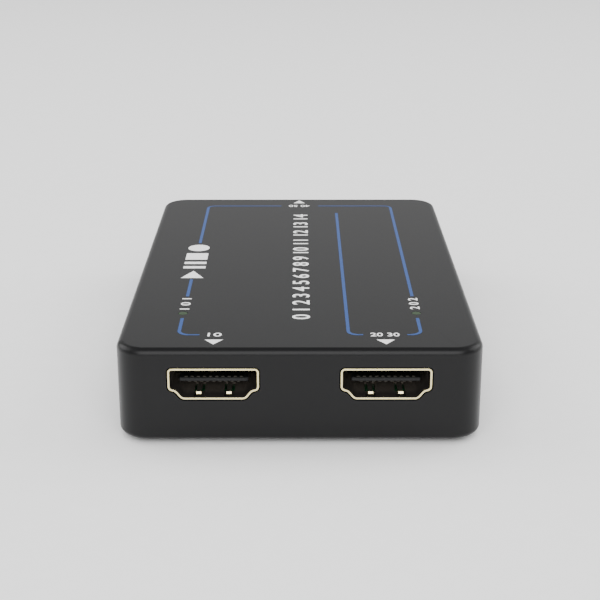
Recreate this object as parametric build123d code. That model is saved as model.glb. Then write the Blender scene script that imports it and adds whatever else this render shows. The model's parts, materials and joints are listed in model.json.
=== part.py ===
from build123d import *
import os

# Video capture box: a low moulded case around one circuit board.
# +Z is up, and +Y runs from the front, with two video sockets, to the rear, with the data socket.
# The origin lies on the table under the middle of the case. All sizes are in millimetres.

# Case
case_width = 60.0
case_depth = 93.0
case_height = 16.0
corner_radius = 5.0
top_edge_radius = 1.2
base_edge_radius = 1.1
wall = 2.0
roof = 1.8
foot_stand = 0.8

# Cover plate, let into the underside of the case
plate_thickness = 1.6
rebate_width = 0.6
plate_gap = 0.15

# Circuit board: the slide is the room that it needs to be drawn forward while it is put in
board_thickness = 1.6
board_gap = 0.5
board_slide = 1.5

# Video sockets, seen from the front
socket_width = 14.8
socket_height = 5.4
socket_depth = 11.5
shell_thickness = 0.34
socket_roof_gap = 1.5
socket_side_gap = 6.6
socket_opening_gap = 0.2

# Data socket at the rear
data_width = 8.94
data_height = 3.26
data_depth = 7.35
data_shell_thickness = 0.3
data_recess = 0.8
data_opening_gap = 0.3

# Screws, of one kind in the case and in the board
screw_diameter = 2.0
screw_head_diameter = 3.8
screw_head_height = 1.2
screw_hole_gap = 0.2
screw_core_gap = 0.02

# Screw posts of the case, in from the walls
post_diameter = 4.2
post_from_side = 3.4
post_from_end = 10.5

# Overrun of a cut past the face that it goes through
cut_over = 1.0

# Levels and planes that the pieces share
base_z = foot_stand
top_z = base_z + case_height
roof_z = top_z - roof
plate_top_z = base_z + plate_thickness
front_y = -case_depth / 2
rear_y = case_depth / 2
inner_x = case_width / 2 - wall
inner_front_y = front_y + wall
inner_rear_y = rear_y - wall
inner_radius = corner_radius - wall
board_top_z = roof_z - socket_roof_gap - socket_height
board_base_z = board_top_z - board_thickness
board_half_width = inner_x - board_gap
board_front_y = inner_front_y + board_slide
board_rear_y = inner_rear_y - board_gap
board_half_depth = (board_rear_y - board_front_y) / 2
board_middle_y = (board_rear_y + board_front_y) / 2
socket_x = inner_x - socket_side_gap - socket_width / 2
socket_z = board_top_z + socket_height / 2
post_x = inner_x - post_from_side
post_y = inner_rear_y - post_from_end
from_low_corner = (Align.MIN, Align.MIN, Align.MIN)
from_base = (Align.CENTER, Align.CENTER, Align.MIN)


def block(x0, x1, y0, y1, z0, z1):
    """A square block between two opposite corners."""
    return Pos(x0, y0, z0) * Box(x1 - x0, y1 - y0, z1 - z0, align=from_low_corner)


def standing_block(x, y, z, width, depth, height):
    """A square block that stands on the level z with its middle over a place."""
    return Pos(x, y, z) * Box(width, depth, height, align=from_base)


def rod(x, y, z0, z1, diameter):
    """An upright cylinder between two levels."""
    return Pos(x, y, z0) * Cylinder(diameter / 2, z1 - z0, align=from_base)


def slab(width, depth, radius, z0, z1):
    """A flat plate with rounded corners, centred on the case."""
    outline = RectangleRounded(width, depth, radius)
    return extrude(Plane((0, 0, z0)) * outline, amount=z1 - z0)


def along(outline, y0, y1):
    """An outline drawn on the front view, drawn out from one depth to another."""
    front_view = Plane((0, y0, 0), x_dir=(1, 0, 0), z_dir=(0, -1, 0))
    return extrude(front_view * outline, amount=y1 - y0, dir=(0, 1, 0))


def four_corners(x, y):
    """A place and its mirror images in the two middle planes of the case."""
    return [(side * x, end * y) for side in (-1, 1) for end in (-1, 1)]


# Video sockets: a drawn metal shell round a moulded insulator with a tongue and nineteen contacts
step_inset = 1.15
step_drop = 1.4
shoulder_drop = 1.06
floor_inset = 2.21
top_corner_radius = 0.7
shoulder_radius = 0.8
step_radius = 0.8
floor_corner_radius = 1.2


def socket_outline(growth):
    """Front view of the video shell, wide side up, made larger or smaller all round by a growth."""
    half = socket_width / 2
    rise = socket_height / 2
    right_side = [
        (half - floor_inset, -rise),
        (half - step_inset, -step_drop),
        (half, -shoulder_drop),
        (half, rise),
    ]
    left_side = [(-x, z) for x, z in reversed(right_side)]
    right_radii = [floor_corner_radius, step_radius, shoulder_radius, top_corner_radius]
    radii = right_radii + list(reversed(right_radii))
    outline = make_face(FilletPolyline(*right_side, *left_side, radius=radii, close=True))
    return Pos(0, socket_z) * offset(outline, amount=growth)


spring_place_share = 0.474
spring_width = 0.78
spring_slot = 0.46
spring_thickness = 0.3
spring_tip_depth = 1.0
spring_peak_depth = 1.2
spring_root_depth = 6.5
spring_tip_rise = 0.25
spring_rise = 0.56
spring_root_overlap = 0.3
spring_offset = (socket_width / 2 - floor_inset) * spring_place_share


def spring_finger(x):
    """One springy tongue of the shell's floor, with a lip that faces the plug at its raised end."""
    floor = board_top_z + shell_thickness
    tip = front_y + spring_tip_depth
    peak = front_y + spring_peak_depth
    root = front_y + spring_root_depth
    root_end = root + spring_root_overlap
    upper = [(tip, floor + spring_tip_rise), (peak, floor + spring_rise), (root, floor), (root_end, floor)]
    lower = [
        (root_end, floor - spring_thickness),
        (root, floor - spring_thickness),
        (peak + spring_thickness, floor + spring_rise - spring_thickness),
        (tip + spring_thickness, floor + spring_tip_rise),
    ]
    profile = make_face(Polyline(*upper, *lower, close=True))
    side_view = Plane((x - spring_width / 2, 0, 0), x_dir=(0, 1, 0), z_dir=(1, 0, 0))
    return extrude(side_view * profile, amount=spring_width)


leg_width = 1.6
leg_thickness = shell_thickness
front_leg_depth = 4.2
rear_leg_from_back = 2.5
leg_reach = 0.8
leg_slot_gap = 0.15
rear_leg_depth = socket_depth - rear_leg_from_back - leg_width


def leg_places(first, second, width):
    """Depth ranges of the two pairs of legs of a shell."""
    return [(first, first + width), (second, second + width)]


# Tongue and block of the insulator, and the contacts that they carry
tongue_side_gap = 1.46
tongue_thickness = 0.6
tongue_raise = 0.26
tongue_setback = 1.35
tongue_chamfer = 0.12
tongue_edge = 0.85
block_length = 2.4
block_back_gap = 0.3
foot_setback = 0.2
insulator_fit = 0.05
contact_width = 0.5
contact_thickness = 0.2
contact_setback = 0.3
tail_width = 0.3
tail_length = 1.2
upper_contacts = 10
lower_contacts = 9

tongue_width = socket_width - 2 * shell_thickness - 2 * tongue_side_gap
contact_pitch = (tongue_width - 2 * tongue_edge - contact_width) / (upper_contacts - 1)
block_front_depth = socket_depth - block_back_gap - block_length
foot_front_depth = block_front_depth + foot_setback
tongue_z = socket_z + tongue_raise
tongue_top_z = tongue_z + tongue_thickness / 2
tongue_base_z = tongue_z - tongue_thickness / 2
block_back_y = front_y + socket_depth - block_back_gap
tail_end_y = block_back_y + tail_length


def video_shell():
    """The shell of one video socket: drawn tube, spring tongues and four legs through the board."""
    tube = along(socket_outline(0), front_y, front_y + socket_depth)
    tube -= along(socket_outline(-shell_thickness), front_y - cut_over, front_y + socket_depth + cut_over)
    slot_half = spring_width / 2 + spring_slot
    floor_top = board_top_z + shell_thickness + cut_over
    for x in (-spring_offset, spring_offset):
        slot_y = (front_y + spring_tip_depth - spring_slot, front_y + spring_root_depth)
        tube -= block(x - slot_half, x + slot_half, *slot_y, board_top_z - cut_over, floor_top)
        tube += spring_finger(x)
    foot_half = tongue_width / 2
    back_y = front_y + socket_depth + cut_over
    foot_y = (front_y + foot_front_depth, back_y)
    tube -= block(-foot_half, foot_half, *foot_y, board_top_z - cut_over, floor_top)
    outer = socket_width / 2
    for near, far in leg_places(front_leg_depth, rear_leg_depth, leg_width):
        for x in (-outer, outer - leg_thickness):
            leg_y = (front_y + near, front_y + far)
            tube += block(x, x + leg_thickness, *leg_y, board_base_z - leg_reach, socket_z)
    return tube


def contact(x, blade_z, blade_back_y):
    """One contact: a blade along the tongue, a drop behind the block and a tail on the board."""
    blade_front_y = front_y + tongue_setback + contact_setback
    half_blade = contact_width / 2
    half_tail = tail_width / 2
    blade_y = (blade_front_y, blade_back_y)
    blade = block(x - half_blade, x + half_blade, *blade_y, blade_z, blade_z + contact_thickness)
    drop_y = (blade_back_y, blade_back_y + contact_thickness)
    drop = block(x - half_tail, x + half_tail, *drop_y, board_top_z, blade_z + contact_thickness)
    tail_y = (blade_back_y, blade_back_y + tail_length)
    tail = block(x - half_tail, x + half_tail, *tail_y, board_top_z, board_top_z + contact_thickness)
    return blade + drop + tail


def contact_row(count, blade_z):
    """One row of contacts at the pitch of the socket."""
    first = -(count - 1) / 2 * contact_pitch
    return [contact(first + number * contact_pitch, blade_z, block_back_y) for number in range(count)]


def video_contacts():
    """All nineteen contacts of one video socket."""
    lower_z = tongue_base_z - contact_thickness
    return contact_row(upper_contacts, tongue_top_z) + contact_row(lower_contacts, lower_z)


def video_insulator():
    """The moulded insulator: a tongue in front, and a block that fills the back of the shell."""
    tongue_front_y = front_y + tongue_setback
    block_front_y = front_y + block_front_depth
    half = tongue_width / 2
    tongue = block(-half, half, tongue_front_y, block_front_y, tongue_base_z, tongue_top_z)
    tongue = chamfer(tongue.faces().sort_by(Axis.Y)[0].edges(), tongue_chamfer)
    body = along(socket_outline(-shell_thickness - insulator_fit), block_front_y, block_back_y)
    foot_half = half - insulator_fit
    foot_front_y = front_y + foot_front_depth + insulator_fit
    foot = block(-foot_half, foot_half, foot_front_y, block_back_y, board_top_z, socket_z)
    return tongue + body + foot - video_contacts()


# Data socket: its outline is a slot, and two rows of contacts lie on a thin tongue
data_tongue_side_gap = 0.825
data_tongue_thickness = 0.7
data_tongue_setback = 0.9
data_tongue_edge = 0.47
data_block_length = 1.75
data_fit = 0.05
data_contact_width = 0.25
data_contact_thickness = 0.1
data_contact_setback = 0.4
data_contacts_per_row = 12
data_tail_length = 0.5
data_row_gap = 0.35
data_leg_width = 1.0
data_leg_thickness = data_shell_thickness
data_front_leg_depth = 2.4
data_rear_leg_from_back = 0.75
data_leg_reach = 0.4

data_tongue_width = data_width - 2 * data_shell_thickness - 2 * data_tongue_side_gap
data_contact_span = data_tongue_width - 2 * data_tongue_edge - data_contact_width
data_contact_pitch = data_contact_span / (data_contacts_per_row - 1)
data_block_depth = data_depth - data_block_length
data_rear_leg_depth = data_depth - data_rear_leg_from_back - data_leg_width
data_front_y = rear_y - data_recess
data_back_y = data_front_y - data_depth
data_z = board_top_z + data_height / 2
data_block_back_y = data_back_y + data_fit


def data_outline(growth):
    """Rear view of the data socket's shell, made larger or smaller all round by a growth."""
    return Pos(0, data_z) * SlotOverall(data_width + 2 * growth, data_height + 2 * growth)


def data_shell():
    """The shell of the data socket: a drawn tube with four legs through the board."""
    tube = along(data_outline(0), data_back_y, data_front_y)
    tube -= along(data_outline(-data_shell_thickness), data_back_y - cut_over, data_front_y + cut_over)
    half = data_tongue_width / 2
    floor_z = board_top_z + data_shell_thickness + data_fit
    foot_y = (data_back_y - cut_over, data_front_y - data_block_depth)
    tube -= block(-half, half, *foot_y, board_top_z - cut_over, floor_z)
    outer = data_width / 2
    for near, far in leg_places(data_front_leg_depth, data_rear_leg_depth, data_leg_width):
        for x in (-outer, outer - data_leg_thickness):
            leg_y = (data_front_y - far, data_front_y - near)
            tube += block(x, x + data_leg_thickness, *leg_y, board_base_z - data_leg_reach, data_z)
    return tube


def data_contact(x, blade_z, row):
    """One contact of the data socket; the second row's drop stands clear behind the first."""
    half = data_contact_width / 2
    thick = data_contact_thickness
    blade_front_y = data_front_y - data_tongue_setback - data_contact_setback
    drop_y = data_block_back_y - row * (data_tail_length + data_row_gap)
    blade = block(x - half, x + half, drop_y - thick, blade_front_y, blade_z, blade_z + thick)
    drop = block(x - half, x + half, drop_y - thick, drop_y, board_top_z, blade_z + thick)
    tail = block(x - half, x + half, drop_y - data_tail_length, drop_y, board_top_z, board_top_z + thick)
    return blade + drop + tail


def data_contacts():
    """Both rows of contacts of the data socket."""
    first = -(data_contacts_per_row - 1) / 2 * data_contact_pitch
    lower_z = data_z - data_tongue_thickness / 2 - data_contact_thickness
    upper_z = data_z + data_tongue_thickness / 2
    places = [first + number * data_contact_pitch for number in range(data_contacts_per_row)]
    return [data_contact(x, z, row) for row, z in enumerate((lower_z, upper_z)) for x in places]


def data_insulator():
    """The insulator of the data socket: a thin tongue on a block that fills the back of the shell."""
    half = data_tongue_width / 2
    rise = data_tongue_thickness / 2
    block_front_y = data_front_y - data_block_depth
    tongue_y = (block_front_y, data_front_y - data_tongue_setback)
    tongue = block(-half, half, *tongue_y, data_z - rise, data_z + rise)
    body = along(data_outline(-data_shell_thickness - data_fit), data_block_back_y, block_front_y)
    foot_half = half - data_fit
    foot = block(-foot_half, foot_half, data_block_back_y, block_front_y - data_fit, board_top_z, data_z)
    return tongue + body + foot - data_contacts()


# Screw posts and board bosses hang from the roof, and each screw cuts its own thread in one
web_thickness = 1.2
boss_diameter = 4.5
boss_from_side = 4.0
boss_behind_light = 4.9
rear_boss_share = 0.54
core_spare = 1.0
case_screw_length = 7.0
board_screw_length = 5.6
pad_diameter = 6.4
pad_rise = 1.2
counterbore_depth = 1.5
counterbore_gap = 0.2

pad_top_z = plate_top_z + pad_rise
screw_seat_z = base_z + counterbore_depth
post_places = four_corners(post_x, post_y)

# Light guides, one over each status light
light_from_side = 7.9
light_from_front = 17.1
guide_tip_diameter = 1.6
guide_diameter = 2.0
guide_collar_diameter = 3.2
guide_collar = 0.8
guide_hole_gap = 0.03
guide_light_gap = 0.3
guide_edge_radius = 0.1
light_width = 1.6
light_depth = 0.8
light_height = 0.6
light_base_share = 0.4
light_lens_share = 0.65

light_x = inner_x - light_from_side
light_y = front_y + light_from_front
boss_x = inner_x - boss_from_side
boss_rows = (light_y + boss_behind_light, board_middle_y + board_half_depth * rear_boss_share)
boss_places = [(side * boss_x, y) for side in (-1, 1) for y in boss_rows]


def top_cover():
    """The deep moulded shell: roof, four walls, screw posts, board bosses and the openings."""
    cover = slab(case_width, case_depth, corner_radius, base_z, top_z)
    cover = fillet(cover.faces().sort_by(Axis.Z)[-1].edges(), top_edge_radius)
    cover = fillet(cover.faces().sort_by(Axis.Z)[0].edges(), base_edge_radius)
    cover -= slab(2 * inner_x, inner_rear_y - inner_front_y, inner_radius, base_z - cut_over, roof_z)
    rim = wall - rebate_width
    rebate_size = (case_width - 2 * rim, case_depth - 2 * rim, corner_radius - rim)
    cover -= slab(*rebate_size, base_z - cut_over, plate_top_z)
    in_roof_z = roof_z + roof / 2
    for x, y in post_places:
        web_x = sorted((x, x / abs(x) * (inner_x + wall / 2)))
        web_half = web_thickness / 2
        cover += rod(x, y, pad_top_z, in_roof_z, post_diameter)
        cover += block(*web_x, y - web_half, y + web_half, pad_top_z, in_roof_z)
    for x, y in boss_places:
        cover += rod(x, y, board_top_z, in_roof_z, boss_diameter)
    core = screw_diameter + 2 * screw_core_gap
    for x, y in post_places:
        cover -= rod(x, y, pad_top_z - cut_over, screw_seat_z + case_screw_length + core_spare, core)
    for x, y in boss_places:
        core_end_z = board_base_z + board_screw_length + core_spare
        cover -= rod(x, y, board_top_z - cut_over, core_end_z, core)
    for x in (-socket_x, socket_x):
        opening = along(socket_outline(socket_opening_gap), front_y - cut_over, inner_front_y + cut_over)
        cover -= Pos(x, 0, 0) * opening
    cover -= along(data_outline(data_opening_gap), inner_rear_y - cut_over, rear_y + cut_over)
    light_hole = guide_tip_diameter + 2 * guide_hole_gap
    for x in (-light_x, light_x):
        cover -= rod(x, light_y, roof_z - cut_over, top_z + cut_over, light_hole)
    return cover


# Cover plate: screw pads, locating ribs, shallow seats for the feet and a bare label place
plate_edge_chamfer = 0.3
rib_gap = 0.2
rib_thickness = 1.0
rib_height = 1.2
rib_length_share = 0.65
foot_diameter = 7.0
foot_seat_depth = 0.6
foot_seat_gap = 0.15
foot_from_side = 5.5
foot_from_end = 4.5
foot_edge_radius = 0.3
label_width = 36.0
label_depth = 40.0
label_radius = 1.5
label_recess = 0.15

foot_x = inner_x - foot_from_side
foot_y = inner_rear_y - foot_from_end


def bottom_cover():
    """The plate that closes the case from below and carries the case screws and the feet."""
    inset = wall - rebate_width + plate_gap
    plate_radius = corner_radius - inset
    plate = slab(case_width - 2 * inset, case_depth - 2 * inset, plate_radius, base_z, plate_top_z)
    plate = chamfer(plate.faces().sort_by(Axis.Z)[0].edges(), plate_edge_chamfer)
    for x, y in post_places:
        plate += rod(x, y, plate_top_z, pad_top_z, pad_diameter)
    rib_x = inner_x - rib_gap - rib_thickness / 2
    for x in (-rib_x, rib_x):
        plate += standing_block(x, 0, plate_top_z, rib_thickness, 2 * post_y * rib_length_share, rib_height)
    for x, y in post_places:
        plate -= rod(x, y, base_z - cut_over, screw_seat_z, screw_head_diameter + 2 * counterbore_gap)
        plate -= rod(x, y, base_z, pad_top_z + cut_over, screw_diameter + 2 * screw_hole_gap)
    for x, y in four_corners(foot_x, foot_y):
        seat_diameter = foot_diameter + 2 * foot_seat_gap
        plate -= rod(x, y, base_z - cut_over, base_z + foot_seat_depth, seat_diameter)
    return plate - slab(label_width, label_depth, label_radius, base_z - cut_over, base_z + label_recess)


def rubber_foot(x, y):
    """A round foot, glued in its seat."""
    foot = rod(x, y, 0, base_z + foot_seat_depth, foot_diameter)
    return fillet(foot.edges().sort_by(Axis.Z)[0], foot_edge_radius)


recess_reach = 2.3
recess_width = 0.55
recess_depth = 0.7
screw_edge_radius = 0.4


def screw(x, y, seat_z, length):
    """A self tapping screw with a cross recess, driven upwards against its seat."""
    head = rod(x, y, seat_z - screw_head_height, seat_z, screw_head_diameter)
    head = fillet(head.edges().sort_by(Axis.Z)[0], screw_edge_radius)
    head_z = seat_z - screw_head_height
    for width, depth in ((recess_reach, recess_width), (recess_width, recess_reach)):
        head -= standing_block(x, y, head_z, width, depth, recess_depth)
    return head + rod(x, y, seat_z, seat_z + length, screw_diameter)


notch_gap = 0.4


def leg_slots(x, width, thickness):
    """Ranges along X of the slots for the legs on the two sides of a socket."""
    outer = width / 2 + leg_slot_gap
    inner = width / 2 - thickness - leg_slot_gap
    return [(x - outer, x - inner), (x + inner, x + outer)]


def main_board():
    """The circuit board, with notches round the posts and slots for the legs of the sockets."""
    size = (2 * board_half_width, 2 * board_half_depth, inner_radius - board_gap)
    board = Pos(0, board_middle_y, 0) * slab(*size, board_base_z, board_top_z)
    through_z = (board_base_z - cut_over, board_top_z + cut_over)
    notch_half = post_diameter / 2 + notch_gap
    for x, y in post_places:
        notch_x = sorted((x - x / abs(x) * notch_half, x / abs(x) * (board_half_width + cut_over)))
        board -= block(*notch_x, y - notch_half, y + notch_half + board_slide, *through_z)
    for x, y in boss_places:
        board -= rod(x, y, *through_z, screw_diameter + 2 * screw_hole_gap)
    gap = leg_slot_gap
    for near, far in leg_places(front_leg_depth, rear_leg_depth, leg_width):
        slot_y = (front_y + near - gap, front_y + far + gap)
        for x in (-socket_x, socket_x):
            for slot_x in leg_slots(x, socket_width, leg_thickness):
                board -= block(*slot_x, *slot_y, *through_z)
    for near, far in leg_places(data_front_leg_depth, data_rear_leg_depth, data_leg_width):
        slot_y = (data_front_y - far - gap, data_front_y - near + gap)
        for slot_x in leg_slots(0, data_width, data_leg_thickness):
            board -= block(*slot_x, *slot_y, *through_z)
    return board


def light_guide(x):
    """A clear guide: its tip fills the hole in the roof and its collar stops below the roof."""
    tip = rod(x, light_y, roof_z, top_z, guide_tip_diameter)
    tip = fillet(tip.edges().sort_by(Axis.Z)[-1], guide_edge_radius)
    collar = rod(x, light_y, roof_z - guide_collar, roof_z, guide_collar_diameter)
    stem_base_z = board_top_z + light_height + guide_light_gap
    stem = rod(x, light_y, stem_base_z, roof_z - guide_collar, guide_diameter)
    return tip + collar + stem


def status_light(x):
    """A small light on the board under its guide: a lens on a slightly wider base."""
    base_height = light_height * light_base_share
    base = standing_block(x, light_y, board_top_z, light_width, light_depth, base_height)
    lens_size = (light_width * light_lens_share, light_depth, light_height - base_height)
    return base + standing_block(x, light_y, board_top_z + base_height, *lens_size)


# Lead of a chip: it leaves the body at the top of its rise, steps down and lies on the board
lead_thickness = 0.15
lead_shoulder_share = 0.4
lead_heel_share = 0.6


def gull_lead(reach, rise, width):
    """One bent lead that starts at the body's side, at X zero, and runs out to its reach."""
    shoulder = reach * lead_shoulder_share
    heel = reach * lead_heel_share
    upper = [(0, rise), (shoulder, rise), (heel, lead_thickness), (reach, lead_thickness)]
    lower = [(reach, 0), (heel - lead_thickness, 0), (shoulder - lead_thickness, rise - lead_thickness)]
    profile = make_face(Polyline(*upper, *lower, (0, rise - lead_thickness), close=True))
    side_view = Plane((0, width / 2, 0), x_dir=(1, 0, 0), z_dir=(0, -1, 0))
    return extrude(side_view * profile, amount=width)


def lead_row(reach, rise, width, pitch, count):
    """A row of leads centred on the X axis."""
    lead = gull_lead(reach, rise, width)
    return [Pos(0, (number - (count - 1) / 2) * pitch, 0) * lead for number in range(count)]


def leaded_chip(place, width, depth, height, lead, row_counts):
    """A moulded chip body with rows of bent leads; row_counts is for the right, back, left and front."""
    x, y = place
    reach, lead_width, pitch = lead
    stand = lead_thickness
    body = Pos(0, 0, stand) * Box(width, depth, height - stand, align=from_base)
    body = chamfer(body.faces().sort_by(Axis.Z)[-1].edges(), stand)
    rise = height / 2
    parts = []
    for turn, count in enumerate(row_counts):
        half = (depth if turn % 2 else width) / 2
        row = lead_row(reach, rise, lead_width, pitch, count)
        parts += [Rot(0, 0, 90 * turn) * Pos(half, 0, 0) * lead for lead in row]
    return Pos(x, y, board_top_z) * (body + parts)


ball_diameter = 0.5
ball_height = 0.35
mould_inset = 0.4
mould_share = 0.65


def ball_chip(place, width, depth, height, columns, rows):
    """A chip on solder balls: a thin carrier with a moulded cap."""
    x, y = place
    carrier_height = (height - ball_height) * (1 - mould_share)
    carrier = Pos(0, 0, ball_height) * Box(width, depth, carrier_height, align=from_base)
    cap_size = (width - 2 * mould_inset, depth - 2 * mould_inset, (height - ball_height) * mould_share)
    cap = Pos(0, 0, ball_height + carrier_height) * Box(*cap_size, align=from_base)
    column_pitch = width / columns
    row_pitch = depth / rows
    ball = Cylinder(ball_diameter / 2, ball_height, align=from_base)
    balls = [
        Pos((column - (columns - 1) / 2) * column_pitch, (row - (rows - 1) / 2) * row_pitch, 0) * ball
        for column in range(columns)
        for row in range(rows)
    ]
    return Pos(x, y, board_top_z) * (carrier + cap + balls)


# Parts in rows behind each video socket: surge arrays, chokes, then resistors
surge_width = 2.5
surge_depth = 1.0
surge_height = 0.5
surge_pitch = 5.2
surge_row_gap = 0.7
choke_width = 1.25
choke_depth = 1.0
choke_height = 0.9
choke_pitch = 2.6
choke_row_gap = 0.8
chokes_per_socket = 4
resistor_row_gap = 2.6
resistor_pitch = 2.2
resistors_per_row = 5
cap_proud_share = 0.1

surge_y = tail_end_y + surge_row_gap + surge_depth / 2
choke_y = surge_y + surge_depth / 2 + choke_row_gap + choke_depth / 2
resistor_y = choke_y + choke_depth / 2 + resistor_row_gap


def row_places(x, y, pitch, count):
    """Places in a row along X, centred on a place."""
    return [(x + (number - (count - 1) / 2) * pitch, y) for number in range(count)]


def capped_part(x, y, width, depth, height, cap, along_x=True):
    """A tiny ceramic part with metal caps that stand a little proud of its body."""
    proud = cap * cap_proud_share
    body_size = (width - cap, depth - 2 * proud, height - 2 * proud)
    body = standing_block(0, 0, proud, *body_size)
    end_x = (width - cap) / 2
    ends = [standing_block(side * end_x, 0, 0, cap, depth, height) for side in (-1, 1)]
    return Pos(x, y, board_top_z) * Rot(0, 0, 0 if along_x else 90) * (body + ends)


choke_cap = 0.2
surge_cap = 0.25
chip_part_width = 1.6
chip_part_depth = 0.8
capacitor_height = 0.8
resistor_height = 0.45
chip_part_cap = 0.35

chip_area_front_y = resistor_y + chip_part_width / 2
chip_area_depth = board_rear_y - chip_area_front_y


def board_place(place_share):
    """A place among the chips: shares of the board's half width and of the depth behind the rows."""
    share_x, share_y = place_share
    return share_x * board_half_width, chip_area_front_y + share_y * chip_area_depth


# Ring of small ceramic capacitors round a chip
ring_gap = 1.6
ring_pitch_share = 0.55

# Capture chip, its thermal pad and its heat sink
capture_share = (0.0, 0.462)
capture_size = 13.0
capture_height = 1.25
capture_balls = 8
pad_inset = 0.5
pad_thickness = 0.5
sink_overhang = 0.5
sink_base = 1.2
sink_roof_gap = 0.65
fin_count = 6
fin_thickness = 0.9

capture_place = board_place(capture_share)
pad_size = capture_size - 2 * pad_inset
sink_size = capture_size + 2 * sink_overhang
sink_base_z = board_top_z + capture_height + pad_thickness


def heat_sink():
    """A small finned aluminium block, stuck to the capture chip by the thermal pad."""
    x, y = capture_place
    sink = standing_block(x, y, sink_base_z, sink_size, sink_size, sink_base)
    fin_height = roof_z - sink_roof_gap - sink_base_z - sink_base
    pitch = (sink_size - fin_thickness) / (fin_count - 1)
    for number in range(fin_count):
        fin_x = x - (sink_size - fin_thickness) / 2 + number * pitch
        sink += standing_block(fin_x, y, sink_base_z + sink_base, fin_thickness, sink_size, fin_height)
    return sink


# Other chips
receiver_share = (-0.51, 0.181)
receiver_size = 10.0
receiver_height = 1.4
receiver_lead_reach = 1.0
receiver_lead_width = 0.25
receiver_lead_pitch = 0.55
receiver_leads_per_side = 16
splitter_share = (0.47, 0.169)
splitter_size = 8.0
splitter_height = 1.1
splitter_lead_reach = 0.5
splitter_lead_width = 0.3
splitter_lead_pitch = 0.65
splitter_leads_per_side = 11
memory_share = (0.6, 0.462)
memory_width = 8.0
memory_depth = 12.5
memory_height = 1.1
memory_columns = 4
memory_rows = 8
flash_share = (-0.56, 0.487)
flash_width = 3.9
flash_depth = 4.9
flash_height = 1.6
flash_lead_reach = 1.05
flash_lead_width = 0.4
flash_lead_pitch = 1.27
flash_leads_per_side = 4
receiver_lead = (receiver_lead_reach, receiver_lead_width, receiver_lead_pitch)
splitter_lead = (splitter_lead_reach, splitter_lead_width, splitter_lead_pitch)
flash_lead = (flash_lead_reach, flash_lead_width, flash_lead_pitch)
receiver_place = board_place(receiver_share)
splitter_place = board_place(splitter_share)
memory_place = board_place(memory_share)
flash_place = board_place(flash_share)


def square_chip(place, size, height, lead, leads_per_side):
    """A square chip with leads on all four sides."""
    return leaded_chip(place, size, size, height, lead, (leads_per_side,) * 4)


# Crystals in metal cans, each behind the ring of its chip
crystal_width = 3.2
crystal_depth = 2.5
crystal_height = 0.8
crystal_edge_radius = 0.2
capture_crystal_gap = 1.1
receiver_crystal_gap = 2.1


def crystal(place, chip_half, gap):
    """A quartz crystal in a flat metal can, behind a chip and its ring of capacitors."""
    x, chip_y = place
    ring_back_y = chip_y + chip_half + ring_gap + chip_part_depth / 2
    y = ring_back_y + gap + crystal_depth / 2
    can = standing_block(x, y, board_top_z, crystal_width, crystal_depth, crystal_height)
    return fillet(can.faces().sort_by(Axis.Z)[-1].edges(), crystal_edge_radius)


# Power supply: one coil and one regulator for each supply, and two bulk capacitors
supply_shares = ((-0.62, 0.646), (-0.36, 0.646), (0.36, 0.646))
coil_size = 4.0
coil_height = 2.0
coil_corner_radius = 0.8
coil_cap_diameter = 3.0
coil_cap_height = 0.3
regulator_gap = 4.0
regulator_width = 2.9
regulator_depth = 1.6
regulator_height = 1.1
regulator_lead_reach = 0.6
regulator_lead_width = 0.4
regulator_lead_pitch = 0.95
bulk_shares = ((-0.4, 0.853), (0.4, 0.853))
bulk_width = 7.3
bulk_depth = 4.3
bulk_height = 1.9
bulk_end_width = 1.3
bulk_end_height = 0.7
bulk_end_thickness = 0.15
regulator_lead = (regulator_lead_reach, regulator_lead_width, regulator_lead_pitch)


def power_inductor(place):
    """A moulded power coil with a round mark on its top."""
    x, y = place
    outline = RectangleRounded(coil_size, coil_size, coil_corner_radius)
    body = extrude(Plane((x, y, board_top_z)) * outline, amount=coil_height - coil_cap_height)
    coil_top_z = board_top_z + coil_height
    return body + rod(x, y, coil_top_z - coil_cap_height, coil_top_z, coil_cap_diameter)


def voltage_regulator(place):
    """A small five legged regulator behind its coil."""
    x, y = place
    spot = (x, y + regulator_gap + coil_size / 2)
    size = (regulator_width, regulator_depth, regulator_height)
    return leaded_chip(spot, *size, regulator_lead, (0, 3, 0, 2))


def bulk_capacitor(place):
    """A moulded tantalum capacitor with a folded end plate on each side."""
    x, y = place
    body = standing_block(x, y, board_top_z, bulk_width, bulk_depth, bulk_height)
    body = chamfer(body.faces().sort_by(Axis.Z)[-1].edges(), bulk_end_thickness)
    end_x = (bulk_width + bulk_end_thickness) / 2
    for side in (-1, 1):
        end_size = (bulk_end_thickness, bulk_end_width, bulk_end_height)
        body += standing_block(x + side * end_x, y, board_top_z, *end_size)
    return body


def ring_places(place, half_width, half_depth, count):
    """Places round a chip, with the turn of each part: a row in front, behind and on each side."""
    x, y = place
    reach_x = half_width + ring_gap
    reach_y = half_depth + ring_gap
    places = []
    for number in range(count):
        step = number - (count - 1) / 2
        across_x = step * half_width * ring_pitch_share * 2 / (count - 1)
        across_y = step * half_depth * ring_pitch_share * 2 / (count - 1)
        places += [(x + across_x, y - reach_y, True), (x + across_x, y + reach_y, True)]
        places += [(x - reach_x, y + across_y, False), (x + reach_x, y + across_y, False)]
    return places


receiver_ring_count = 2
splitter_ring_count = 2
capture_ring_count = 3
receiver_half = receiver_size / 2 + receiver_lead_reach
capture_half = capture_size / 2


def chip_capacitors():
    """The small ceramic capacitors that stand round the chips."""
    splitter_half = splitter_size / 2 + splitter_lead_reach
    places = ring_places(receiver_place, receiver_half, receiver_half, receiver_ring_count)
    places += ring_places(splitter_place, splitter_half, splitter_half, splitter_ring_count)
    places += ring_places(capture_place, capture_half, capture_half, capture_ring_count)
    size = (chip_part_width, chip_part_depth, capacitor_height, chip_part_cap)
    return [capped_part(x, y, *size, along_x) for x, y, along_x in places]


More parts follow.
